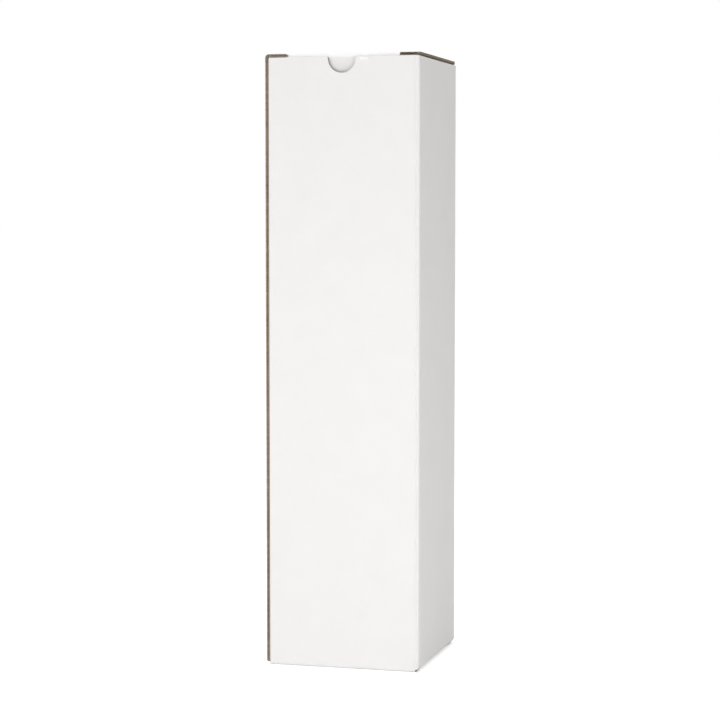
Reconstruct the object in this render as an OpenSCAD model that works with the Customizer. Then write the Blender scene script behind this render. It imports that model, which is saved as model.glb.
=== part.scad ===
// Tall tuck-top mailing box, folded from one sheet of corrugated board.
// Millimetres. +Z is up, the front panel faces -Y, and the origin is on the floor
// under the centre of the box.

/* [Box] */
// Clear width between the side panels
inner_w = 82; // [60:0.5:140]
// Clear depth between the front and back panels
inner_d = 82; // [60:0.5:140]
// Height from the floor to the top of the closed lid
height = 330; // [150:1:500]

/* [Board] */
// Thickness of the corrugated board
board_t = 1.6; // [1.2:0.1:2.4]
// Radius on the inner side of every fold
fold_ri = 0.4; // [0.2:0.1:0.8]
// How far the corner folds stop short of the top edges
corner_relief = 0.8; // [0.4:0.1:2]

/* [Thumb notch] */
// Width of the notch in the front panel's top edge
notch_w = 15.2; // [10:0.2:30]
// Depth of the notch below that edge
notch_depth = 8.6; // [8:0.2:16]

/* [Lid] */
// How far each side edge of the lid lies inside the side panel's face
lid_inset = 0.4; // [0.2:0.1:2]
// Gap between the lid and the dust flaps under it
lid_gap = 0.3; // [0.2:0.05:0.8]
// Gap along the mitre of the lid's crease
crease_gap = 0.2; // [0.1:0.05:0.4]
// Length of the slit at each end of the lid's front crease
slit_len = 11.1; // [6:0.1:16]

/* [Tuck flap] */
// Length of the tuck flap below its crease
tuck_len = 20; // [16:0.5:30]
// Gap at each side between the tuck flap and what lies beside it
tuck_side_gap = 1; // [0.6:0.1:3]
// Gap between the tuck flap's crease and the front panel
tuck_gap = 0.3; // [0.2:0.05:0.8]
// Room left between moving and fixed board as the lid swings
swing_gap = 0.6; // [0.4:0.1:1.2]
// Corner radius at the tip of the tuck flap
tuck_corner_r = 8; // [3:0.5:12]

/* [Dust flaps] */
// Gap between the tips of the two dust flaps
dust_tip_gap = 20; // [10:0.5:40]
// Gap between a dust flap and the back panel
dust_back_gap = 1.5; // [0.8:0.1:4]
// Straight length of a dust flap's edges next to its crease
dust_shoulder = 6; // [3:0.5:12]
// How far a dust flap's edges draw in towards its tip
dust_taper = 5; // [2:0.5:10]
// Reach of the left dust flap's shoulder that is caught in front of the lid, over the front panel's edge
shoulder_reach = 12.4; // [6:0.2:20]

/* [Glue flap] */
// Length of the glue flap along the left panel
glue_len = 22; // [12:0.5:30]
// How far the ends of the glue flap slant in
glue_taper = 6; // [3:0.5:12]

/* [Bottom flaps] */
// How far the front and back flaps hook past the middle of the floor
hook_reach = 9; // [4:0.5:16]
// Width over which the hooked edge crosses from one side to the other
hook_slant = 16; // [6:0.5:24]
// Gap between the edges of flaps that meet at the bottom
seam_gap = 1; // [0.5:0.1:2]
// Straight length of a bottom flap's edges next to its fold
flap_root = 2; // [1:0.5:6]
// How far the front and back flaps draw in towards their tips
floor_taper = 2; // [1:0.5:6]
// Gap between the two side flaps at the middle of the floor
side_flap_gap = 8; // [4:0.5:16]
// How far the edges of a side flap draw in towards its tip
side_flap_taper = 14; // [6:0.5:20]

/* [Hidden] */
$fn = 64;
liner_colour = "#F2F1EE";

// Outside of a fold, and the half sizes of the box over its faces
fold_ro = fold_ri + board_t;
half_w = inner_w / 2 + board_t;
half_d = inner_d / 2 + board_t;

// Where the folds start along the panels: the front panel's left fold turns inside the left panel
fold_x = half_w - fold_ro;
fold_y = half_d - fold_ro;
glue_face_x = -half_w + board_t;
glue_fold_x = glue_face_x + fold_ro;

// Levels of the top edges: panels and dust flaps end under the lid, creases end at the lid's top
wall_top = height - board_t - lid_gap;
crease_z = height - fold_ro;
corner_top = wall_top - corner_relief;

// Levels between which the side panels are flat: their bottom flaps lie one board above the floor
side_low = board_t + fold_ro;
side_high = wall_top - fold_ro;

// The front and back bottom flaps end a little short of the corner folds
floor_half_w = fold_x - seam_gap / 2;

// The lid turns about the middle of its back crease, on the outer face
pivot_y = fold_y + fold_ro * cos(45);
pivot_z = crease_z + fold_ro * sin(45);

// Lid outline: the slits run along the middle of the front crease
lid_half_w = half_w - lid_inset;
tuck_fold_half_w = lid_half_w - slit_len;
tuck_fold_y = -half_d + board_t + tuck_gap + fold_ro;
slit_y = tuck_fold_y - fold_ro / 2;

// The tuck flap leans in until the arc of its tip clears the front panel's inner top edge
tuck_half_w = half_w - 2 * board_t - tuck_side_gap;
tuck_face_y = tuck_fold_y - fold_ro;
tip_reach = norm([pivot_y + half_d - board_t, pivot_z - wall_top]) - swing_gap;
tip_drop = pivot_z - crease_z + tuck_len;
tip_y = pivot_y - sqrt(tip_reach ^ 2 - tip_drop ^ 2);
tuck_lean = atan2(tip_y - tuck_face_y, tuck_len);
tuck_t = board_t / cos(tuck_lean);

// The dust flaps stay inside the arc that the tuck flap's inner face sweeps
inner_reach = (pivot_y - tuck_face_y - tuck_t) * cos(tuck_lean)
    + (pivot_z - crease_z) * sin(tuck_lean) - swing_gap;
dust_front_y = pivot_y - sqrt(inner_reach ^ 2 - (pivot_z - wall_top + board_t) ^ 2);
dust_back_y = half_d - board_t - dust_back_gap;
dust_tip_x = dust_tip_gap / 2;

// A flat sheet of plan outline, from one level to another
module layer(z0, z1) {
    translate([0, 0, z0]) linear_extrude(z1 - z0) children();
}

// A profile drawn in Y and Z, carried along X
module along_x(x0, x1) {
    translate([x0, 0, 0]) rotate([90, 0, 90]) linear_extrude(x1 - x0) children();
}

// A profile drawn in X and Z, carried along Y
module along_y(y0, y1) {
    translate([0, y1, 0]) rotate([90, 0, 0]) linear_extrude(y1 - y0) children();
}

// A rectangle between two corners
module rect(low, high) {
    translate(low) square(high - low);
}

// The section of a fold: a ring of board between two angles
module fold_ring(centre, from, to) {
    reach = 2 * fold_ro;
    middle = (from + to) / 2;
    translate(centre) intersection() {
        difference() {
            circle(fold_ro);
            circle(fold_ri);
        }
        polygon([
            [0, 0],
            reach * [cos(from), sin(from)],
            reach * [cos(middle), sin(middle)],
            reach * [cos(to), sin(to)]
        ]);
    }
}

// One half of the lid's back crease, cut along the mitre with half the gap on each side
module crease_half(from, to) {
    difference() {
        fold_ring([fold_y, crease_z], from, to);
        translate([fold_y, crease_z]) rotate(45)
            translate([0, -crease_gap / 2]) square([2 * fold_ro, crease_gap]);
    }
}

// The four panels and their upright folds, in plan
module panel_loop() {
    rect([glue_fold_x, -half_d], [fold_x, -half_d + board_t]);
    rect([half_w - board_t, -fold_y], [half_w, fold_y]);
    rect([-fold_x, half_d - board_t], [fold_x, half_d]);
    rect([-half_w, -half_d], [glue_face_x, fold_y]);
    fold_ring([glue_fold_x, -fold_y], 180, 270);
    corner_folds();
}

// The three upright folds that join panel to panel, in plan
module corner_folds() {
    fold_ring([fold_x, -fold_y], -90, 0);
    fold_ring([fold_x, fold_y], 0, 90);
    fold_ring([-fold_x, fold_y], 90, 180);
}

// Thumb notch through the front panel's top edge
module thumb_notch() {
    notch_r = notch_w / 2;
    notch_z = wall_top - notch_depth + notch_r;
    along_y(-half_d - board_t, -half_d + 2 * board_t) {
        translate([0, notch_z]) circle(notch_r);
        rect([-notch_r, notch_z], [notch_r, height]);
    }
}

// Panels up to their top edges, and the back panel up to the lid's crease
module panels() {
    difference() {
        union() {
            layer(side_low, side_high) panel_loop();
            layer(board_t, corner_top) corner_folds();
            layer(fold_ro, wall_top) rect([glue_fold_x, -half_d], [fold_x, -half_d + board_t]);
        }
        thumb_notch();
    }
    along_x(-fold_x, fold_x) {
        rect([half_d - board_t, fold_ro], [half_d, crease_z]);
        crease_half(0, 45);
    }
}

// Glue flap, folded from the front panel and glued to the inner face of the left panel
module glue_flap() {
    layer(side_low + glue_taper, side_high - glue_taper) {
        fold_ring([glue_fold_x, -fold_y], 180, 270);
        rect([glue_face_x, -fold_y], [glue_face_x + board_t, -fold_y + glue_len]);
    }
    along_x(glue_face_x, glue_face_x + board_t) polygon([
        [-fold_y, side_low],
        [-fold_y + glue_len, side_low + glue_taper],
        [-fold_y + glue_len, side_high - glue_taper],
        [-fold_y, side_high]
    ]);
}

// Section of the right panel up to a level, with the fold at its bottom edge
module side_wall(top) {
    rect([half_w - board_t, side_low], [half_w, top]);
    fold_ring([fold_x, side_low], -90, 0);
}

// Section of the right panel with the folds at its top and bottom edges
module side_section() {
    side_wall(side_high);
    fold_ring([fold_x, side_high], 0, 90);
}

// Dust flap of the right panel
module dust_flap() {
    along_y(dust_front_y, dust_back_y) {
        side_section();
        rect([fold_x - dust_shoulder, wall_top - board_t], [fold_x, wall_top]);
    }
    layer(wall_top - board_t, wall_top) polygon([
        [fold_x, dust_front_y],
        [fold_x - dust_shoulder, dust_front_y],
        [dust_tip_x, dust_front_y + dust_taper],
        [dust_tip_x, dust_back_y - dust_taper],
        [fold_x - dust_shoulder, dust_back_y],
        [fold_x, dust_back_y]
    ]);
}

// Bottom flap of the right panel, one board above the floor
module side_flap() {
    tip_x = side_flap_gap / 2;
    flap_half_d = half_d - board_t - seam_gap;
    along_y(-flap_half_d, flap_half_d) {
        side_section();
        rect([fold_x - flap_root, board_t], [fold_x, 2 * board_t]);
    }
    layer(board_t, 2 * board_t) polygon([
        [fold_x, -flap_half_d],
        [fold_x - flap_root, -flap_half_d],
        [tip_x, -flap_half_d + side_flap_taper],
        [tip_x, flap_half_d - side_flap_taper],
        [fold_x - flap_root, flap_half_d],
        [fold_x, flap_half_d]
    ]);
}

// Right panel with its folds and flaps; front is where its face and its folds start
module side_panel(front) {
    along_y(front, fold_y) side_section();
    dust_flap();
    side_flap();
}

// Front edge of the left panel, seen as a right one: its shoulder is caught at the lid's level
module caught_shoulder() {
    along_y(-half_d, -half_d + board_t) {
        side_wall(crease_z);
        fold_ring([fold_x, crease_z], 0, 90);
        rect([half_w - shoulder_reach, height - board_t], [fold_x, height]);
    }
}

// Bottom flap of the front panel, hooked with the back one along the middle of the floor
module floor_flap(left, right) {
    long_y = hook_reach - seam_gap / 2;
    short_y = -hook_reach - seam_gap / 2;
    along_x(left, right) {
        rect([-half_d, fold_ro], [-half_d + board_t, side_low]);
        fold_ring([-fold_y, fold_ro], 180, 270);
        rect([-fold_y, 0], [-fold_y + flap_root, board_t]);
    }
    layer(0, board_t) polygon([
        [left, -fold_y],
        [right, -fold_y],
        [right, -fold_y + flap_root],
        [right - floor_taper, short_y],
        [hook_slant / 2, short_y],
        [-hook_slant / 2, long_y],
        [left + floor_taper, long_y],
        [left, -fold_y + flap_root]
    ]);
}

// Panels, glue flap, dust flaps and bottom flaps, folded and glued as one sheet
module carton() {
    color(liner_colour) union() {
        panels();
        glue_flap();
        side_panel(-fold_y);
        mirror([1, 0, 0]) {
            side_panel(-half_d + board_t);
            caught_shoulder();
        }
        floor_flap(glue_fold_x + seam_gap / 2, floor_half_w);
        rotate([0, 0, 180]) floor_flap(-floor_half_w, floor_half_w);
    }
}

// Section of the lid panel from front to back
module lid_section(front) {
    rect([front, crease_z + fold_ri], [fold_y, height]);
}

// Section of the tuck flap, from its crease down to a drop below it
module tuck_section(drop) {
    run = drop * tan(tuck_lean);
    polygon([
        [tuck_face_y, crease_z],
        [tuck_face_y + tuck_t, crease_z],
        [tuck_face_y + tuck_t + run, crease_z - drop],
        [tuck_face_y + run, crease_z - drop]
    ]);
}

// Ears and rounded tip of the tuck flap, seen from the front, below the neck between the slits
module tuck_outline() {
    corner_x = tuck_half_w - tuck_corner_r;
    corner_z = crease_z - tuck_len + tuck_corner_r;
    rect([-tuck_half_w, corner_z], [tuck_half_w, crease_z - lid_gap]);
    rect([-corner_x, crease_z - tuck_len], [corner_x, crease_z - lid_gap]);
    for (side = [-1, 1])
        translate([side * corner_x, corner_z]) circle(tuck_corner_r);
}

// Lid panel with its half of the back crease, the front crease between the slits and the tuck flap
module lid() {
    color(liner_colour) union() {
        along_x(-lid_half_w, lid_half_w) {
            lid_section(tuck_fold_y);
            crease_half(45, 90);
        }
        for (side = [0, 1])
            mirror([side, 0, 0]) along_x(tuck_fold_half_w, lid_half_w) lid_section(slit_y);
        along_x(-tuck_fold_half_w, tuck_fold_half_w) {
            lid_section(tuck_fold_y);
            fold_ring([tuck_fold_y, crease_z], 90, 180);
            tuck_section(tuck_len - tuck_corner_r);
        }
        intersection() {
            along_x(-tuck_half_w, tuck_half_w) tuck_section(tuck_len);
            along_y(-half_d, half_d) tuck_outline();
        }
    }
}

carton();
lid();
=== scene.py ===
"""Dresses a tall tuck-top mailing box: its corrugated board, sheet by sheet, and a plain studio."""
from math import ceil, cos, pi, radians, sin, tan
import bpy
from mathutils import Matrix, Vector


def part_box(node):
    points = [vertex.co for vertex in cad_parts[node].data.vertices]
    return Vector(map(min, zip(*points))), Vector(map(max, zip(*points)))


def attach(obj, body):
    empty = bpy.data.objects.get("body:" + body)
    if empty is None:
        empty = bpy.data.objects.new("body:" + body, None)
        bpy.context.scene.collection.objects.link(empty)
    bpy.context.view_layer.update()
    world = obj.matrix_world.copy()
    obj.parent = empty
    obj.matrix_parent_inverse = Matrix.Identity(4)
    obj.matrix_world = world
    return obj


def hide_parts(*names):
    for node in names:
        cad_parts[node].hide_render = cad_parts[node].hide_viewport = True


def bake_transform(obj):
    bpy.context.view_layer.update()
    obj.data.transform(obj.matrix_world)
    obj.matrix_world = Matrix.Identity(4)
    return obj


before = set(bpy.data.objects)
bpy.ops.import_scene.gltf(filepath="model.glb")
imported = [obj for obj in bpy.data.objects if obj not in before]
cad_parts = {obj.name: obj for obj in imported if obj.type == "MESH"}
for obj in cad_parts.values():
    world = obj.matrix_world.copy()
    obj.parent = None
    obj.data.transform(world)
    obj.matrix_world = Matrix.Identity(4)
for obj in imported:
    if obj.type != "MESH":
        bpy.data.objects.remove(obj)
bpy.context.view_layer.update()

from types import SimpleNamespace

import bpy
import numpy as np
from bpy.props import FloatProperty, FloatVectorProperty, PointerProperty, StringProperty
from bpy.types import Operator, Panel, PropertyGroup

bl_info = {
    "name": "Mailing box dresser",
    "version": (1, 0, 0),
    "blender": (4, 5, 0),
    "location": "View3D > Sidebar > Mailing box",
    "description": "Builds a tall tuck-top mailing box from corrugated board, with its studio",
    "category": "Add Mesh",
}

BOX_LOW, BOX_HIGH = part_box("carton")
LID_LOW, LID_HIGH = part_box("lid")
MM = 0.001
UP = np.array([0, 0, 1.0])

# Rows and columns of the grids: millimetres from an end, angles round a fold or shares of a flap
PANEL_STEP = 7.0
STEPS_PER_FLUTE = 10
WALL_STEPS = np.array([0, 0.5, 0.8, 1.2, 1.6, 2, 4, 9, 25, 70, 130.0])
LID_STEPS = np.array([0, 0.6, 1.4, 3, 8, 22])
SCORE_STEPS = (0.4, 0.75, 1.1, 1.6)
FOLD_STEPS = np.linspace(0, pi / 2, 9)
FLAP_SHARES = np.array([0, 0.04, 0.1, 0.2, 0.5, 0.8, 1.0])
TUCK_SHARES = np.array([1, 0.97, 0.85, 0.7, 0.5, 0.3, 0.15, 0.05, 0])
NOTCH_POINTS, LIP_POINTS, DENT_POINTS, TIP_POINTS = 33, 7, 12, 9
LID_FOLD_ROWS, SHOULDER_ROWS = 10, 46
CREASE_ROWS, CREASE_COLUMNS = 16, 25

# Joining of the grids, in millimetres: points that agree to a thousandth at the weld depth are one, and the
# shift keeps round values away from where the rounding changes
NEAR = 1e-6
PLACE_DIGITS = 6
GIVE_WAY = 0.3  # share of a step within which an even column gives way to a wanted one
LEAST_CAP = 0.05  # a fold's cap lower than this is left out
WELD_DEPTH = 0.8
WELD_STEPS = 1000  # to the millimetre
WELD_SHIFT = 0.000137
SHARP_ANGLE = radians(35)

# How the board gives, in millimetres
SCORE_WIDTH = 0.45  # half width of the pressed line beside a fold
FLUTES_FADE = 1.4  # stretch before an upright fold in which the flutes die away
FLUTES_BACK = 2.5  # stretch beyond a flap's fold in which they come back
LID_FLUTES_BACK = 3.0  # the same on the lid
PRESS_SHARE = 0.5  # share of a press that reaches the fluting
PAPERS_OVERLAP = 0.01  # how far the papers sink into each other, so that no gap shows

# Wear, in millimetres
DENT_FROM, DENT_LENGTH = 8.6, 6.8  # along the front panel, from its middle
DENT_DROP = 1.7  # how far the dent reaches down from the edge
DENT_STEEPNESS = 1.6  # over 1 the dent has a flat bottom
WORN_DEPTH, WORN_LENGTH = 0.6, 1.3
SHOULDER_FLUTES = 2  # the caught shoulder's flutes run along it, this many to a pitch

# Papers
CLOUD_MM = 18
FLECK_LOW, FLECK_HIGH = 0.35, 0.65
ROUGHNESS_SPREAD = 0.06
GRAIN_STRENGTH = 0.35
PAPER_SPECULAR = 0.3
COLOUR_A, COLOUR_B, COLOUR_RESULT = 6, 7, 2  # the Mix node's sockets for colours

# Studio: the lights' settings with their side and place in metres
SOFTBOXES = (
    ("key", 1.4, (-0.75, -1.9, 0.6)),
    ("top", 1.6, (-0.1, -0.1, 2.2)),
    ("front", 0.18, (-0.1, -0.6, 0.1)),
    ("side", 0.18, (0.45, -0.45, 0.1)),
)
SENSOR_MM = 36.0
WHITE = (1, 1, 1, 1)


def length(mm, name, text):
    """A length setting, given in millimetres and kept in metres."""
    return FloatProperty(name=name, description=text, default=mm * MM, unit="LENGTH", precision=5)


def rotation(degrees, name, text):
    """An angle setting, given in degrees and kept in radians."""
    return FloatProperty(name=name, description=text, default=radians(degrees), unit="ROTATION")


def factor(share, least, name, text):
    """A share setting, from its least value up to 1."""
    return FloatProperty(name=name, description=text, default=share, min=least, max=1, subtype="FACTOR")


def strength(value, name, text):
    """A setting of light, from 0 up."""
    return FloatProperty(name=name, description=text, default=value, min=0)


def colour(hex_code, name, text):
    """A colour setting, written as an sRGB hex value."""
    return StringProperty(name=name, description=text, default=hex_code)


class BoxSizes(PropertyGroup):
    """Outline of the box and its flaps."""
    width: length((BOX_HIGH.x - BOX_LOW.x) / MM, "Width", "Outer width over the side panels")
    depth: length((BOX_HIGH.y - BOX_LOW.y) / MM, "Depth", "Outer depth over the front and back panels")
    height: length(LID_HIGH.z / MM, "Height", "Floor to the top of the closed lid")
    lid_width: length((LID_HIGH.x - LID_LOW.x) / MM, "Lid width", "Width of the lid panel")
    notch_width: length(15.2, "Notch width", "Width of the thumb notch")
    notch_depth: length(8.6, "Notch depth", "Depth of the thumb notch")
    notch_corner: length(1.0, "Notch corner", "Radius where the notch meets the top edge")
    lid_gap: length(0.3, "Lid gap", "Gap between the lid and the dust flaps")
    slit: length(11.1, "Slit length", "Slit at each end of the lid's front crease")
    tuck_length: length(20.0, "Tuck length", "Tuck flap below its crease")
    tuck_gap: length(0.3, "Tuck gap", "Gap between the tuck flap's crease and the front panel")
    tuck_side_gap: length(1.0, "Tuck side gap", "Gap beside the tuck flap")
    tuck_corner: length(8.0, "Tuck corner", "Corner radius at the tuck flap's tip")
    tuck_lean: rotation(8.87, "Tuck lean", "How far the tuck flap leans in")
    dust_front: length(4.924, "Dust flap front", "From the box's front face to the front edge of a dust flap")
    dust_back: length(3.1, "Dust flap back", "From the box's back face to the back edge of a dust flap")
    dust_gap: length(20.0, "Dust flap gap", "Gap between the tips of the dust flaps")
    dust_shoulder: length(6.0, "Dust shoulder", "Straight length of a dust flap's edges")
    dust_taper: length(5.0, "Dust taper", "How far a dust flap's edges draw in")
    shoulder: length(12.4, "Caught shoulder", "Reach of the left dust flap's shoulder in front of the lid")
    foot: length(0.7, "Corner foot", "Height above the floor where the glue flap's fold ends")
    relief: length(0.5, "Corner relief", "How far the upright folds end below the panels' edges")
    glue_length: length(22.0, "Glue flap", "Length of the glue flap")
    glue_taper: length(6.0, "Glue taper", "How far the glue flap's ends slant in")
    hook_reach: length(9.0, "Hook reach", "How far the bottom flaps hook past the middle")
    hook_slant: length(16.0, "Hook slant", "Width over which the hooked edge crosses over")
    seam_gap: length(1.0, "Seam gap", "Gap between flaps that meet at the bottom")
    flap_root: length(2.0, "Flap root", "Straight length of a bottom flap's edges")
    floor_taper: length(2.0, "Floor taper", "How far the front and back bottom flaps draw in")
    side_gap: length(8.0, "Side flap gap", "Gap between the side flaps at the bottom")
    side_taper: length(14.0, "Side taper", "How far a side flap's edges draw in")


class BoardMake(PropertyGroup):
    """How the corrugated board is made up."""
    board: length(1.6, "Board", "Thickness of the board")
    fold: length(0.4, "Fold radius", "Radius on the inner side of a fold")
    outer_liner: length(0.3, "Outer liner", "Thickness of the white outer liner")
    inner_liner: length(0.3, "Inner liner", "Thickness of the brown inner liner")
    medium: length(0.28, "Fluting", "Thickness of the fluting paper")
    pitch: length(3.6, "Flute pitch", "Length of one wave of the fluting")
    drawn_back: length(1.2, "Drawn back", "How far the inner liner lies back from the lid's side edges")
    sharpness: factor(0.5, 0.3, "Fold sharpness", "Power that squares off a fold; 1 is round")
    seam_sharpness: factor(0.35, 0.3, "Seam sharpness", "Power of the fold beside the raw edge")
    base_sharpness: factor(0.75, 0.3, "Base sharpness", "Power of the folds that the box stands on")
    lid_flatness: FloatProperty(name="Lid fold flatness", default=1.6, min=1, max=1.9,
                                description="Power of the lid's front fold; over 1 is flatter")
    hinge_strip: length(0.01, "Hinge strip", "Depth of the strip where the crease passes from carton to lid")
    crush: factor(0.35, 0, "Crush", "Height that the flutes keep in a fold")
    score: length(0.75, "Score depth", "Depth of the pressed line beside a fold")
    dent: length(0.95, "Dent", "Depth of the crushed place on the front panel's top edge")


class BoardLook(PropertyGroup):
    """Colours of the papers."""
    white: colour("#F2F0EF", "White", "Bleached top ply of the outer liner")
    white_low: colour("#EFEDEC", "White, thin", "Where the brown pulp shows through the top ply")
    kraft: colour("#B79E80", "Kraft", "Inner liner")
    kraft_dark: colour("#99805F", "Kraft, dark", "Fibres and shives in the inner liner")
    medium: colour("#B5A692", "Fluting", "Fluting paper")
    medium_dark: colour("#998A75", "Fluting, dark", "Fibres in the fluting paper")
    cut: colour("#B8AC9F", "Cut edge", "Board's cut edges")
    cut_dark: colour("#86786B", "Cut edge, dark", "Torn fibres on the cut edges")


class StageLook(PropertyGroup):
    """Camera, floor and light."""
    eye: FloatVectorProperty(name="Camera", description="Place of the camera", size=3,
                             default=(0.3163, -1.15116, 0.246), subtype="TRANSLATION")
    yaw: rotation(15.445, "Yaw", "Turn of the camera about the upright")
    pitch: rotation(3.925, "Pitch", "How far the camera looks down")
    lens: FloatProperty(name="Lens", description="Focal length on a 36 mm sensor", default=108.06,
                        unit="CAMERA")
    ambient: strength(0.37, "Ambient", "Strength of the even studio light")
    key: strength(8.4, "Key", "Power of the soft light at the front left")
    top: strength(29.0, "Top light", "Power of the soft light overhead")
    front: strength(0.4, "Front fill", "Power of the low soft light in front")
    side: strength(0.58, "Side fill", "Power of the low soft light at the right")
    sweep: colour("#F0F0F0", "Studio paper", "Matte paper that the box stands on")
    lift: strength(0.7, "Floor lift", "What the camera sees the far floor glow by")
    near_lift: strength(0.5, "Near lift", "What the camera sees the floor beside the box glow by")
    lift_reach: length(2500, "Lift reach", "Distance over which the floor's glow grows")
    floor: length(40000, "Floor", "Side of the floor")


class MailingBox(PropertyGroup):
    """Settings of the mailing box."""
    sizes: PointerProperty(type=BoxSizes)
    make: PointerProperty(type=BoardMake)
    look: PointerProperty(type=BoardLook)
    stage: PointerProperty(type=StageLook)


# Derived sizes

def worked_sizes(settings):
    """Every size of the box in millimetres, with the places of the folds worked out from the settings."""
    size = SimpleNamespace()
    for group in (settings.sizes, settings.make):
        for key, setting in group.bl_rna.properties.items():
            value = getattr(group, key)
            if isinstance(value, float):
                setattr(size, key, value / MM if setting.unit == "LENGTH" else value)
    # Folds: their outer radius, the length of that quarter round, and the upright ones' centre lines
    size.round = size.fold + size.board
    size.arc = size.round * pi / 2
    size.half_width, size.half_depth = size.width / 2, size.depth / 2
    size.fold_x, size.fold_y = size.half_width - size.round, size.half_depth - size.round
    size.glue_x = -size.half_width + size.board
    size.front_left = size.glue_x + size.round
    # Levels: top of the walls and of their upright folds, centre of the lid's creases, ends of the sides
    size.wall_top = size.height - size.board - size.lid_gap
    size.fold_top = size.wall_top - size.relief
    size.crease_z = size.height - size.round
    size.side_low = size.board + size.round
    size.side_high = size.wall_top - size.round
    # Lid: half widths, the front crease's centre line and the slits beside it
    size.lid_half = size.lid_width / 2
    size.neck = size.lid_half - size.slit
    size.tuck_half = size.half_width - 2 * size.board - size.tuck_side_gap
    size.tuck_y = -size.half_depth + size.board + size.tuck_gap + size.round
    size.slit_y = size.tuck_y - size.round / 2
    # Blank: the place of each panel's middle, and of the left panel's raw edge
    size.front_at = size.glue_length + size.arc - size.front_left
    size.right_at = size.front_at + size.fold_x + size.arc + size.fold_y
    size.back_at = size.right_at + size.fold_y + size.arc + size.fold_x
    size.left_at = size.back_at + size.fold_x + size.arc + size.fold_y
    size.raw_edge = size.left_at + size.half_depth
    return size


# Patches: a patch is a grid of points on the blank with its place in space at any depth into the board

def points(x, y, z):
    """Coordinates of matching shapes as one array of points."""
    return np.stack(np.broadcast_arrays(x, y, z), -1)


def columns(low, high, step, extra=()):
    """Places along a panel: even steps from low to high, with the extra places put in exactly."""
    even = np.linspace(low, high, max(2, ceil((high - low) / step) + 1))
    extra = np.array([e for e in extra if low < e < high], float)
    if len(extra):
        near = np.abs(even[:, None] - extra[None]).min(1) < GIVE_WAY * step
        near[[0, -1]] = False
        even = even[~near]
    return np.unique(np.round(np.concatenate([even, extra]), PLACE_DIGITS))


def patch(place, across, along, crush=1.0, press=0.0, wave=None):
    """One grid of the blank: place(depth) gives its points, and across and along are its place on the blank.
    crush is the share of their height that the flutes keep, press is how far its outer face is pressed in.
    The flutes run over wave, or else over across."""
    shape = np.broadcast_shapes(np.shape(across), np.shape(along))

    def full(values):
        return np.broadcast_to(values, shape).astype(float)

    return SimpleNamespace(place=place, across=full(across), along=full(along), crush=full(crush),
                           press=full(press), wave=full(across if wave is None else wave))


class PanelFrame:
    """A flat panel's own axes: u runs along it, depth goes in from its outer face, z goes up.
    start is the place of u = 0 on the blank."""

    def __init__(self, origin, along, outward, start):
        self.origin = np.array([*origin, 0.0])
        self.along = np.array([*along, 0.0])
        self.outward = np.array([*outward, 0.0])
        self.start = start

    def point(self, u, depth, z):
        """origin + u along the panel - depth outwards + z up."""
        u, depth, z = np.broadcast_arrays(u, depth, z)
        return self.origin + u[..., None] * self.along - depth[..., None] * self.outward + z[..., None] * UP


def wall_rows(low, high):
    """Levels up a wall: close steps at both ends, the same number in every column."""
    low, high = np.atleast_1d(low), np.atleast_1d(high)
    return np.concatenate([low + WALL_STEPS[:, None], high - WALL_STEPS[::-1, None]])


def wall(panel, u, low, high, crush=1.0, press=0.0):
    """A flat wall between two levels per column."""
    z = wall_rows(np.broadcast_to(low, u.shape), np.broadcast_to(high, u.shape))
    return patch(lambda d: panel.point(u[None], d, z), panel.start + u[None], z, crush, press)


def bend(angle, power):
    """The round of a fold: cosine and sine raised to a power, so 1 is a circle and less is squarer."""
    return np.cos(angle) ** power, np.sin(angle) ** power


def upright_fold(size, centre, start_angle, start, low, high, ends, power):
    """A quarter ring about an upright centre line, with start as its place on the blank. Its middle slants
    from one panel's levels to the next, so that it joins both, and a cap at the top and bottom carries it on
    to its own ends. low, high and both ends hold a level for its first and its last side."""
    turn = FOLD_STEPS / (pi / 2)
    c, s = bend(FOLD_STEPS, power)
    x = c * cos(start_angle) - s * sin(start_angle)
    y = c * sin(start_angle) + s * cos(start_angle)

    def between(pair):
        """Levels of the columns from the first side's level to the last one's."""
        return pair[0] + turn * (pair[1] - pair[0])

    def ring(z, keep):
        """The stretch of the ring between levels z, in the columns to keep."""
        def place(d):
            radius = size.round - d
            return points(centre[0] + radius * x[keep], centre[1] + radius * y[keep], z)
        return patch(place, start + size.round * FOLD_STEPS[None, keep], z, 0.0)

    out = [ring(wall_rows(between(low), between(high)), np.ones(turn.shape, bool))]
    rise = np.linspace(0, 1, 3)[:, None]
    for bottom, top in ((between(high), between(ends[1])), (between(ends[0]), between(low))):
        keep = top - bottom > LEAST_CAP
        out.append(ring((bottom + rise * (top - bottom))[:, keep], keep))
    return out


def edge_fold(size, panel, u, level, way, power=None):
    """The fold at a wall's top (way 1) or bottom (way -1) edge: a quarter ring about its centre line."""
    angle = (FOLD_STEPS if way > 0 else FOLD_STEPS[::-1])[:, None]
    c, s = bend(angle, power or size.sharpness)

    def place(d):
        radius = size.round - d
        return panel.point(u[None], size.round - radius * c, level + way * radius * s)

    return patch(place, panel.start + u[None], level + way * size.round * angle, size.crush)


def flutes_beyond(size, distance, stretch=FLUTES_BACK):
    """The flutes' height beyond a fold: crushed at the fold, and growing to the whole over a stretch."""
    return size.crush + (1 - size.crush) * np.clip(distance / stretch, 0, 1)


def drawn_in(start, amount, straight, reach):
    """The side of a flap: straight for a length, then drawn in by an amount at its reach."""
    return lambda inward: start + amount * np.clip((inward - straight) / (reach - straight), 0, 1)


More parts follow.
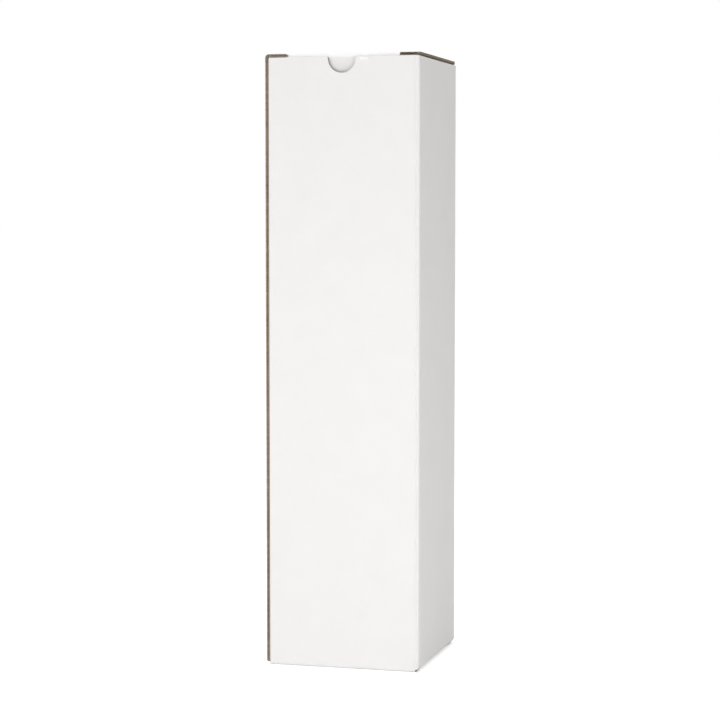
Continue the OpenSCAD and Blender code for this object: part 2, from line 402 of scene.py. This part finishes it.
def flap(size, panel, u, sides, reach, face, way):
    """A flat flap: rows go in by a share of reach, and columns draw in between its two sides with the row.
    sides give the outline at a distance in, face is the level of its outer face, and way is 1 at the top."""
    share = (FLAP_SHARES if way > 0 else FLAP_SHARES[::-1])[:, None]
    inward = share * np.broadcast_to(reach, u.shape)[None]
    left, right = (side(inward) for side in sides)
    drawn = left + (right - left) * ((u - u[0]) / (u[-1] - u[0]))[None]
    return patch(lambda d: panel.point(drawn, size.round + inward, face - way * d), panel.start + u[None],
                 face + way * (size.arc + inward), flutes_beyond(size, inward))


# Carton

def faded(u, *folds):
    """The flutes' height beside upright folds: it dies away over the last stretch before them."""
    return np.clip(np.min([np.abs(u - fold) for fold in folds], 0) / FLUTES_FADE, 0, 1)[None]


def scored(size, u, *folds):
    """The shallow groove pressed in beside upright folds, with a bell curve as its section."""
    return size.score * sum(np.exp(-(((u - fold) / SCORE_WIDTH) ** 2)) for fold in folds)[None]


def beside(*folds):
    """Columns close to both sides of upright folds, for the pressed line."""
    return [fold + side * step for fold in folds for side in (-1, 1) for step in SCORE_STEPS]


def bottom_flap(size, panel, u, low, high):
    """The front or back panel's bottom fold and flap. The two flaps hook past each other: each one's edge
    crosses over from a long side to a short one."""
    long = size.hook_reach - size.seam_gap / 2 + size.fold_y
    short = -size.hook_reach - size.seam_gap / 2 + size.fold_y
    reach = np.interp(u, [-size.hook_slant / 2, size.hook_slant / 2], [long, short])
    sides = (drawn_in(low, size.floor_taper, size.flap_root, long),
             drawn_in(high, -size.floor_taper, size.flap_root, short))
    return [edge_fold(size, panel, u, size.round, -1, size.base_sharpness),
            flap(size, panel, u, sides, reach, 0.0, -1)]


def notch_columns(size):
    """Columns that the thumb notch needs, evenly spaced along its round and along its corners."""
    half, lip = size.notch_width / 2, size.notch_corner
    bowl = half * np.sin(np.linspace(-pi / 2, pi / 2, NOTCH_POINTS))
    lips = half + lip - lip * np.cos(np.linspace(0, pi / 2, LIP_POINTS))
    return [*bowl, *-lips, *lips]


def notched_top(size, u):
    """Level of the front panel's top edge: a half-round notch in its middle, with round corners."""
    half, lip = size.notch_width / 2, size.notch_corner
    centre = size.wall_top - size.notch_depth + half
    off = np.abs(u)
    bowl = centre - np.sqrt(np.maximum(half * half - u * u, 0))
    lips = size.wall_top - lip + np.sqrt(np.maximum(lip ** 2 - np.clip(half + lip - off, 0, lip) ** 2, 0))
    return np.minimum(size.wall_top, np.where(off <= half, bowl, lips))


def dented(size, u, below):
    """The crushed place on the front panel's top edge: half a sine wave with its crown cut flat, which fades
    out below the edge."""
    along = np.clip((u - DENT_FROM) / DENT_LENGTH, 0, 1)
    hollow = size.dent * np.clip(np.sin(pi * along) * DENT_STEEPNESS, 0, 1)[None]
    return hollow * np.clip(DENT_DROP - below, 0, 1)


def front_panel(size, front, step):
    """Front panel with the thumb notch and the dent beside it, its bottom fold and its bottom flap."""
    low, high = size.front_left, size.fold_x
    dent_columns = np.linspace(DENT_FROM, DENT_FROM + DENT_LENGTH, DENT_POINTS)
    u = columns(low, high, step, [*notch_columns(size), *dent_columns, *beside(low, high)])
    top = notched_top(size, u)
    below = top[None] - wall_rows(np.full(u.shape, size.round), top)
    press = scored(size, u, high) + dented(size, u, below)
    return [wall(front, u, size.round, top, faded(u, low, high), press),
            *bottom_flap(size, front, u, low, high)]


def glue_flap(size, step):
    """Glue flap inside the left panel, with its ends slanting in, and its fold to the front panel."""
    inside = PanelFrame((size.glue_x, 0), (0, -1), (-1, 0), size.glue_length - size.fold_y)
    u = -columns(-size.fold_y, -size.fold_y + size.glue_length, step)[::-1]
    slant = size.glue_taper * (size.fold_y - u) / size.glue_length
    fold = upright_fold(size, (size.front_left, -size.fold_y), pi, size.glue_length,
                        (size.side_low, size.round), (size.side_high, size.wall_top),
                        ((size.foot, size.foot), (size.fold_top - size.relief, size.wall_top)),
                        size.seam_sharpness)
    return [wall(inside, u, size.side_low + slant, size.side_high - slant), *fold]


def side_panel(size, panel, step, high, folds, top_end, dust):
    """Right or left panel from its first fold to high, with its dust flap and its bottom flap. The top fold
    ends at top_end, and dust gives the two sides of the dust flap. Gives the patches and the columns."""
    floor_half = size.half_depth - size.board - size.seam_gap
    floor = (-floor_half, floor_half)
    u = columns(-size.fold_y, high, step, [*dust, *floor, top_end, *beside(*folds)])
    out = [wall(panel, u, size.side_low, size.side_high, faded(u, *folds), scored(size, u, *folds)),
           edge_fold(size, panel, u[u <= top_end + NEAR], size.side_high, 1),
           edge_fold(size, panel, u, size.side_low, -1)]
    for ends, taper, straight, gap, face, way in (
            (dust, size.dust_taper, size.dust_shoulder, size.dust_gap, size.wall_top, 1),
            (floor, size.side_taper, size.flap_root, size.side_gap, size.board, -1)):
        own = u[(u >= ends[0] - NEAR) & (u <= ends[1] + NEAR)]
        reach = size.half_width - size.round - gap / 2
        sides = drawn_in(own[0], taper, straight, reach), drawn_in(own[-1], -taper, straight, reach)
        out.append(flap(size, panel, own, sides, reach, face, way))
    return out, u


def caught_shoulder(size, left, u):
    """Front shoulder of the left dust flap: its edge rises to the lid's level and lies over the front panel's
    edge, and its tip is worn away on the outside."""
    across = left.start + u[None]
    rise = np.array([size.side_high, (size.side_high + size.crease_z) / 2, size.crease_z])[:, None]
    inward = np.linspace(0, size.shoulder - size.round, SHOULDER_ROWS)[:, None]
    flutes = np.clip(size.crush + inward / FLUTES_BACK, 0, 1)
    worn = WORN_DEPTH * np.clip(1 - (inward[-1] - inward) / WORN_LENGTH, 0, 1) ** 2
    return [patch(lambda d: left.point(u[None], d, rise), across, rise, size.crush),
            edge_fold(size, left, u, size.crease_z, 1, power=1.0),
            patch(lambda d: left.point(u[None], size.round + inward, size.height - d), across,
                  size.height + size.arc + inward, flutes, worn, SHOULDER_FLUTES * inward)]


def back_panel(size, back, step):
    """Back panel with its bottom fold and flap. The lid's crease starts at its top."""
    folds = (-size.fold_x, size.fold_x)
    u = columns(*folds, step, beside(*folds))
    return [wall(back, u, size.round, size.crease_z, faded(u, *folds), scored(size, u, *folds)),
            *bottom_flap(size, back, u, *folds)]


def panel_folds(size):
    """The three upright folds from the front panel round to the left panel. The first one runs on below the
    flat walls, to twice the foot at the front panel and by the foot at the right panel."""
    x, y, floor = size.fold_x, size.fold_y, size.round
    low, high = size.side_low, size.side_high
    return [
        *upright_fold(size, (x, -y), -pi / 2, size.front_at + x, (floor, low), (size.wall_top, high),
                      ((2 * size.foot, low - size.foot), (size.wall_top, size.fold_top)), size.sharpness),
        *upright_fold(size, (x, y), 0.0, size.right_at + y, (low, floor), (high, size.crease_z),
                      ((low, floor), (size.fold_top, size.crease_z)), size.sharpness),
        *upright_fold(size, (-x, y), pi / 2, size.back_at + x, (floor, low), (size.crease_z, high),
                      ((floor, low), (size.crease_z, size.fold_top)), size.sharpness)]


def carton_patches(size, step):
    """All panels and flaps of the carton as one blank, from the glue flap to the left panel's raw edge."""
    front = PanelFrame((0, -size.half_depth), (1, 0), (0, -1), size.front_at)
    right = PanelFrame((size.half_width, 0), (0, 1), (1, 0), size.right_at)
    back = PanelFrame((0, size.half_depth), (-1, 0), (0, 1), size.back_at)
    left = PanelFrame((-size.half_width, 0), (0, -1), (-1, 0), size.left_at)
    dust_front, dust_back = size.half_depth - size.dust_front, size.half_depth - size.dust_back
    behind = size.half_depth - size.board
    right_side, _ = side_panel(size, right, step, size.fold_y, (-size.fold_y, size.fold_y), size.fold_y,
                               (-dust_front, dust_back))
    left_side, u = side_panel(size, left, step, size.half_depth, (-size.fold_y,), behind,
                              (-dust_back, dust_front))
    return [*front_panel(size, front, step), *glue_flap(size, step), *right_side, *left_side,
            *caught_shoulder(size, left, u[u >= behind - NEAR]), *back_panel(size, back, step),
            *panel_folds(size)]


# Lid

def lid_patches(size, step, half):
    """The lid's blank from the tuck flap's tip up over the front crease and back to the hinge crease.
    The tuck flap bows in with the square of its length, to where a straight one with that lean would end.
    half is half the panel's width."""
    corner_x = size.tuck_half - size.tuck_corner
    tip = corner_x + size.tuck_corner * np.sin(np.linspace(0, pi / 2, TIP_POINTS))
    x = columns(-half, half, step, [-size.neck, size.neck, -size.tuck_half, size.tuck_half, *tip, *-tip])
    crease_x = x[np.abs(x) <= size.neck + NEAR]
    tuck_x = x[np.abs(x) <= size.tuck_half + NEAR]

    over = np.clip(np.abs(tuck_x) - corner_x, 0, size.tuck_corner)
    ends = size.tuck_length - size.tuck_corner + np.sqrt(np.maximum(size.tuck_corner ** 2 - over ** 2, 0))
    down = TUCK_SHARES[:, None] * ends[None]
    lean = size.tuck_lean
    straight_tip = size.round * (1 - cos(lean)) + (size.tuck_length - size.round * sin(lean)) * tan(lean)
    bow = straight_tip / size.tuck_length ** 2
    tilt = np.arctan(2 * bow * down)

    def tuck_place(d):
        y = size.tuck_y - size.round + bow * down ** 2 + d * np.cos(tilt)
        return points(tuck_x[None], y, size.crease_z - down + d * np.sin(tilt))

    angle = np.linspace(pi / 2, 0, LID_FOLD_ROWS)[:, None]
    c, s = bend(angle, size.lid_flatness)

    def fold_place(d):
        radius = size.round - d
        return points(crease_x[None], size.tuck_y - radius * s, size.crease_z + radius * c)

    def top(own_x, y):
        """A flat stretch of the lid, whose flutes grow from both creases."""
        from_crease = np.minimum(y + size.half_depth, size.fold_y - y)
        return patch(lambda d: points(own_x[None], y[:, None], size.height - d), own_x[None],
                     (size.arc + y - size.tuck_y)[:, None],
                     flutes_beyond(size, from_crease, LID_FLUTES_BACK)[:, None])

    slit = np.array([size.slit_y, size.tuck_y])
    return [patch(tuck_place, tuck_x[None], -down, flutes_beyond(size, down)),
            patch(fold_place, crease_x[None], size.round * (pi / 2 - angle), size.crush),
            top(x, np.concatenate([size.tuck_y + LID_STEPS, size.fold_y - LID_STEPS[::-1]])),
            top(x[x <= -size.neck + NEAR], slit),
            top(x[x >= size.neck - NEAR], slit)]


def crease_patches(size):
    """The lid's back crease: a quarter ring from the back panel's top to the lid, widening to its width.
    Its rows are even in number, so that none lies over the hinge line in the middle."""
    angle = np.linspace(0, pi / 2, CREASE_ROWS)[:, None]
    u = np.linspace(-1, 1, CREASE_COLUMNS)[None]
    half = size.fold_x + (size.lid_half - size.fold_x) * angle / (pi / 2)

    def place(d):
        radius = size.round - d
        return points(-u * half, size.fold_y + radius * np.cos(angle), size.crease_z + radius * np.sin(angle))

    return [patch(place, u * size.fold_x, size.round * angle)]


# Sheets of paper and board

def even_depth(depth):
    """The same depth at every point of a patch."""
    return lambda p: np.full(p.across.shape, depth)


def laid(patches, depth):
    """The points of all patches, each laid at its depth into the board."""
    return np.concatenate([p.place(depth(p)).reshape(-1, 3) for p in patches])


def joined_grids(patches):
    """The patches' grids as four-sided faces, joined where their points meet at the weld depth. Gives the
    faces and, for each point that is left, its number among all points of the patches."""
    faces, count = [], 0
    for p in patches:
        grid = np.arange(p.across.size).reshape(p.across.shape) + count
        ends = [grid[:-1, :-1], grid[:-1, 1:], grid[1:, 1:], grid[1:, :-1]]
        faces.append(np.stack(ends, -1).reshape(-1, 4))
        count += p.across.size
    keys = np.round((laid(patches, even_depth(WELD_DEPTH)) + WELD_SHIFT) * WELD_STEPS).astype(np.int64)
    _, first, joined = np.unique(keys, axis=0, return_index=True, return_inverse=True)
    return joined.reshape(-1)[np.concatenate(faces)], first


def sheet(name, patches, near, far, materials, body=None):
    """A closed sheet between two depths of the board: the joined grids are laid at both depths, and a rim
    closes every free edge. near and far give the depth at each point of a patch, and the materials are those
    of the near face, the far face and the rim."""
    quads, kept = joined_grids(patches)
    blank = np.concatenate([points(p.across, p.along, 0.0).reshape(-1, 3) for p in patches])[kept]
    vertices = np.concatenate([laid(patches, near)[kept], laid(patches, far)[kept]])
    n = len(kept)
    start, end = quads.reshape(-1), np.roll(quads, -1, 1).reshape(-1)
    free = ~np.isin(start * n + end, end * n + start)
    start, end = start[free], end[free]
    rim = np.stack([end, start, start + n, end + n], -1)
    faces = np.concatenate([quads, quads[:, ::-1] + n, rim])
    kind = np.repeat([0, 1, 2], [len(quads), len(quads), len(rim)])

    mesh = bpy.data.meshes.new(name)
    mesh.vertices.add(2 * n)
    mesh.vertices.foreach_set("co", (vertices * MM).astype(np.float32).ravel())
    mesh.loops.add(faces.size)
    mesh.loops.foreach_set("vertex_index", faces.astype(np.int32).ravel())
    mesh.polygons.add(len(faces))
    mesh.polygons.foreach_set("loop_start", np.arange(0, faces.size, 4, dtype=np.int32))
    mesh.polygons.foreach_set("material_index", kind.astype(np.int32))
    layout = mesh.attributes.new("blank", "FLOAT_VECTOR", "POINT")
    layout.data.foreach_set("vector", (np.concatenate([blank, blank]) * MM).astype(np.float32).ravel())
    mesh.update(calc_edges=True)
    if mesh.validate():
        raise RuntimeError(f"{name}: the sheet has faulty faces")
    mesh.shade_smooth()
    mesh.set_sharp_from_angle(angle=SHARP_ANGLE)
    for material in materials:
        mesh.materials.append(material)
    piece = bpy.data.objects.new(name, mesh)
    bpy.context.scene.collection.objects.link(piece)
    if body:
        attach(piece, body)
        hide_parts(body)
    return piece


def board(body, patches, fine, inside, size, papers, crest):
    """Outer liner, fluting and inner liner of one body. The fluting is a wave across the blank,
    depth = middle - height * cos(2 pi (across - crest) / pitch), thickened along its slope.
    The patches are for the outer liner, fine for the fluting and inside for the inner liner."""
    inner_at = size.board - size.inner_liner
    middle = (size.outer_liner + inner_at) / 2
    height = (inner_at - size.outer_liner - size.medium) / 2 + PAPERS_OVERLAP

    def wave(side):
        """Depth of the fluting's outer (side -1) or inner (side 1) face, kept below the outer liner."""
        def depth(p):
            turn = 2 * pi * (p.wave - crest) / size.pitch
            swing = height * p.crush
            slope = swing * 2 * pi / size.pitch * np.sin(turn)
            centre = middle + p.press * PRESS_SHARE - swing * np.cos(turn)
            free = centre + side * size.medium / 2 * np.sqrt(1 + slope ** 2)
            least = p.press + size.outer_liner - PAPERS_OVERLAP + (1 + side) / 2 * size.medium
            return np.maximum(free, least)
        return depth

    sheet(f"{body}_outer_liner", patches, lambda p: p.press, lambda p: p.press + size.outer_liner,
          (papers.white, papers.kraft, papers.cut), body)
    sheet(f"{body}_fluting", fine, wave(-1), wave(1), (papers.medium, papers.medium, papers.cut), body)
    sheet(f"{body}_inner_liner", inside, even_depth(inner_at), even_depth(size.board),
          (papers.kraft, papers.kraft, papers.cut), body)


# Materials

def linear(hex_code):
    """An sRGB hex value as linear red, green, blue and full alpha."""
    srgb = np.array([int(hex_code[i:i + 2], 16) for i in (1, 3, 5)]) / 255
    low, high = srgb / 12.92, ((srgb + 0.055) / 1.055) ** 2.4
    return (*np.where(srgb <= 0.04045, low, high).tolist(), 1.0)


def add_node(tree, kind, inputs=None, **settings):
    """Adds one node, sets its fields, and sets or links its inputs."""
    node = tree.nodes.new(kind)
    for key, value in settings.items():
        setattr(node, key, value)
    for key, value in (inputs or {}).items():
        if isinstance(value, bpy.types.NodeSocket):
            tree.links.new(value, node.inputs[key])
        else:
            node.inputs[key].default_value = value
    return node


def seen_directly(tree):
    """1 for rays that show a surface to the eye, straight or in gloss or glass, and 0 for other rays."""
    rays = add_node(tree, "ShaderNodeLightPath").outputs
    seen = rays["Is Camera Ray"]
    for kind in ("Is Glossy Ray", "Is Transmission Ray"):
        seen = add_node(tree, "ShaderNodeMath", {0: seen, 1: rays[kind]}, operation="MAXIMUM").outputs[0]
    return seen


def paper(name, base, fleck, fleck_mm, stretch, roughness, bump_mm, mottle=0.5):
    """A paper, made once: its base colour turns to a second one in clouds and in fibres drawn out along the
    flutes. mottle is the share of the clouds. Real fibres are too fine to show, so these are coarser."""
    if name in bpy.data.materials:
        return bpy.data.materials[name]
    material = bpy.data.materials.new(name)
    material.use_nodes = True
    tree = material.node_tree
    shader = tree.nodes["Principled BSDF"]
    place = add_node(tree, "ShaderNodeAttribute", attribute_name="blank").outputs["Vector"]
    drawn = add_node(tree, "ShaderNodeMapping", {
        "Vector": place, "Scale": (stretch, 1.0, 1.0)}).outputs["Vector"]
    fibre = add_node(tree, "ShaderNodeTexNoise", {
        "Vector": drawn, "Scale": 1 / (fleck_mm * MM), "Detail": 4.0, "Roughness": 0.6}).outputs["Fac"]
    cloud = add_node(tree, "ShaderNodeTexNoise", {
        "Vector": place, "Scale": 1 / (CLOUD_MM * MM), "Detail": 3.0, "Roughness": 0.55}).outputs["Fac"]
    both = add_node(tree, "ShaderNodeMix", {"Factor": mottle, "A": fibre, "B": cloud}).outputs["Result"]
    share = add_node(tree, "ShaderNodeMapRange", {
        "Value": both, "From Min": FLECK_LOW, "From Max": FLECK_HIGH}).outputs["Result"]
    mixed = add_node(tree, "ShaderNodeMix", {
        "Factor": share, COLOUR_A: linear(base), COLOUR_B: linear(fleck)}, data_type="RGBA")
    rough = add_node(tree, "ShaderNodeMapRange", {
        "Value": fibre, "To Min": roughness - ROUGHNESS_SPREAD, "To Max": roughness + ROUGHNESS_SPREAD})
    grain = add_node(tree, "ShaderNodeBump", {
        "Height": fibre, "Strength": GRAIN_STRENGTH, "Distance": bump_mm * MM})
    tree.links.new(mixed.outputs[COLOUR_RESULT], shader.inputs["Base Color"])
    tree.links.new(rough.outputs["Result"], shader.inputs["Roughness"])
    tree.links.new(grain.outputs["Normal"], shader.inputs["Normal"])
    shader.inputs["Specular IOR Level"].default_value = PAPER_SPECULAR
    return material


def papers_of(look):
    """The four papers of the board."""
    return SimpleNamespace(
        # White-top liner, machine finished: an even matte white with a faint cloud of brown pulp behind it
        white=paper("bleached_white_top_liner", look.white, look.white_low,
                    fleck_mm=1.2, stretch=2.0, roughness=0.72, bump_mm=0.02),
        # Kraft liner, unbleached: warm brown, with darker fibres drawn out along the flutes
        kraft=paper("unbleached_kraft_liner", look.kraft, look.kraft_dark,
                    fleck_mm=0.9, stretch=4.0, roughness=0.8, bump_mm=0.03),
        # Fluting medium, semichemical: a duller brown
        medium=paper("semichemical_fluting", look.medium, look.medium_dark,
                     fleck_mm=0.8, stretch=3.0, roughness=0.85, bump_mm=0.03),
        # Die-cut edge: torn fibre ends, greyer and fuzzy
        cut=paper("die_cut_board_edge", look.cut, look.cut_dark,
                  fleck_mm=1.5, stretch=1.0, roughness=0.9, bump_mm=0.05, mottle=0.2))


def studio_paper(look):
    """Studio paper: matte white that keeps the box's shadow and shows as white where nothing shades it."""
    material = bpy.data.materials.new("white_studio_paper")
    material.use_nodes = True
    tree = material.node_tree
    tree.nodes.clear()
    place = add_node(tree, "ShaderNodeTexCoord").outputs["Object"]
    away = add_node(tree, "ShaderNodeVectorMath", {0: place}, operation="LENGTH").outputs["Value"]
    grown = add_node(tree, "ShaderNodeMapRange", {
        "Value": away, "From Max": look.lift_reach, "To Min": look.near_lift, "To Max": look.lift,
    }, interpolation_type="SMOOTHSTEP").outputs["Result"]
    seen = seen_directly(tree)
    lift = add_node(tree, "ShaderNodeMath", {0: seen, 1: grown}, operation="MULTIPLY").outputs[0]
    matte = add_node(tree, "ShaderNodeBsdfDiffuse", {"Color": linear(look.sweep)}).outputs[0]
    glow = add_node(tree, "ShaderNodeEmission", {"Strength": lift}).outputs[0]
    both = add_node(tree, "ShaderNodeAddShader", {0: matte, 1: glow}).outputs[0]
    add_node(tree, "ShaderNodeOutputMaterial", {"Surface": both})
    return material


# Studio

def add_floor(scene, look):
    """A square floor under the box."""
    half = look.floor / 2
    ends = [(x * half, y * half, 0) for x, y in ((-1, -1), (1, -1), (1, 1), (-1, 1))]
    mesh = bpy.data.meshes.new("studio_floor")
    mesh.from_pydata(ends, [], [(0, 1, 2, 3)])
    mesh.materials.append(studio_paper(look))
    floor = bpy.data.objects.new("studio_floor", mesh)
    scene.collection.objects.link(floor)


def studio_world(look):
    """Even white light from all round, which shows as plain white behind the box."""
    world = bpy.data.worlds.new("studio_light")
    world.use_nodes = True
    tree = world.node_tree
    tree.nodes.clear()
    even = add_node(tree, "ShaderNodeBackground", {"Color": WHITE, "Strength": look.ambient}).outputs[0]
    white = add_node(tree, "ShaderNodeBackground", {"Color": WHITE, "Strength": 1.0}).outputs[0]
    sky = add_node(tree, "ShaderNodeMixShader", {0: seen_directly(tree), 1: even, 2: white}).outputs[0]
    add_node(tree, "ShaderNodeOutputWorld", {"Surface": sky})
    return world


def add_softbox(scene, name, power, side, place):
    """A square soft light, turned to the middle of the carton and hidden from the camera."""
    lamp = bpy.data.lights.new(name, "AREA")
    lamp.energy, lamp.size = power, side
    softbox = bpy.data.objects.new(name, lamp)
    softbox.location = place
    softbox.visible_camera = False
    middle = (BOX_LOW + BOX_HIGH) / 2
    softbox.rotation_euler = (softbox.location - middle).to_track_quat("Z", "Y").to_euler()
    scene.collection.objects.link(softbox)


def add_camera(scene, look):
    """The camera at the photograph's place, level across and looking a little down."""
    lens = bpy.data.cameras.new("camera")
    lens.lens, lens.sensor_width = look.lens, SENSOR_MM
    camera = bpy.data.objects.new("camera", lens)
    camera.location = look.eye
    camera.rotation_euler = (pi / 2 - look.pitch, 0, look.yaw)
    scene.collection.objects.link(camera)
    scene.camera = camera


# Operators

class MAILBOX_OT_carton(Operator):
    """Build the carton's outer liner, fluting and inner liner"""
    bl_idname = "mailbox.carton"
    bl_label = "Carton"

    def execute(self, context):
        settings = context.scene.mailing_box
        size = worked_sizes(settings)
        panels = carton_patches(size, PANEL_STEP)
        fine = carton_patches(size, size.pitch / STEPS_PER_FLUTE)
        board("carton", panels, fine, panels, size, papers_of(settings.look), size.raw_edge)
        return {"FINISHED"}


class MAILBOX_OT_lid(Operator):
    """Build the lid's outer liner, fluting and inner liner"""
    bl_idname = "mailbox.lid"
    bl_label = "Lid"

    def execute(self, context):
        settings = context.scene.mailing_box
        size = worked_sizes(settings)
        panels = lid_patches(size, PANEL_STEP, size.lid_half)
        fine = lid_patches(size, size.pitch / STEPS_PER_FLUTE, size.lid_half)
        inside = lid_patches(size, PANEL_STEP, size.lid_half - size.drawn_back)
        board("lid", panels, fine, inside, size, papers_of(settings.look), size.lid_half - size.pitch / 4)
        return {"FINISHED"}


class MAILBOX_OT_crease(Operator):
    """Build the crease that the lid turns on"""
    bl_idname = "mailbox.crease"
    bl_label = "Lid crease"

    def execute(self, context):
        settings = context.scene.mailing_box
        size = worked_sizes(settings)
        papers = papers_of(settings.look)
        piece = sheet("lid_crease", crease_patches(size), even_depth(0.0), even_depth(size.board),
                      (papers.white, papers.kraft, papers.cut))
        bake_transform(piece)
        return {"FINISHED"}


class MAILBOX_OT_stage(Operator):
    """Set up the floor, the light and the camera"""
    bl_idname = "mailbox.stage"
    bl_label = "Studio"

    def execute(self, context):
        scene = context.scene
        look = scene.mailing_box.stage
        add_floor(scene, look)
        scene.world = studio_world(look)
        for name, side, place in SOFTBOXES:
            add_softbox(scene, f"{name}_softbox", getattr(look, name), side, place)
        add_camera(scene, look)
        scene.view_settings.view_transform = "Standard"
        return {"FINISHED"}


class MAILBOX_PT_panel(Panel):
    """Lists the mailing box's pieces and its studio"""
    bl_label = "Mailing box"
    bl_idname = "MAILBOX_PT_panel"
    bl_space_type = "VIEW_3D"
    bl_region_type = "UI"
    bl_category = "Mailing box"

    def draw(self, context):
        for operator in (MAILBOX_OT_carton, MAILBOX_OT_lid, MAILBOX_OT_crease, MAILBOX_OT_stage):
            self.layout.operator(operator.bl_idname)


CLASSES = (BoxSizes, BoardMake, BoardLook, StageLook, MailingBox, MAILBOX_OT_carton, MAILBOX_OT_lid,
           MAILBOX_OT_crease, MAILBOX_OT_stage, MAILBOX_PT_panel)


def register():
    """Adds the settings, the operators and the panel."""
    for cls in CLASSES:
        bpy.utils.register_class(cls)
    bpy.types.Scene.mailing_box = PointerProperty(type=MailingBox)


def unregister():
    """Takes them out again."""
    del bpy.types.Scene.mailing_box
    for cls in reversed(CLASSES):
        bpy.utils.unregister_class(cls)


def main():
    """Builds the box and its studio."""
    register()
    bpy.ops.mailbox.carton()
    bpy.ops.mailbox.lid()
    bpy.ops.mailbox.crease()
    bpy.ops.mailbox.stage()


if __name__ == "__main__":
    main()
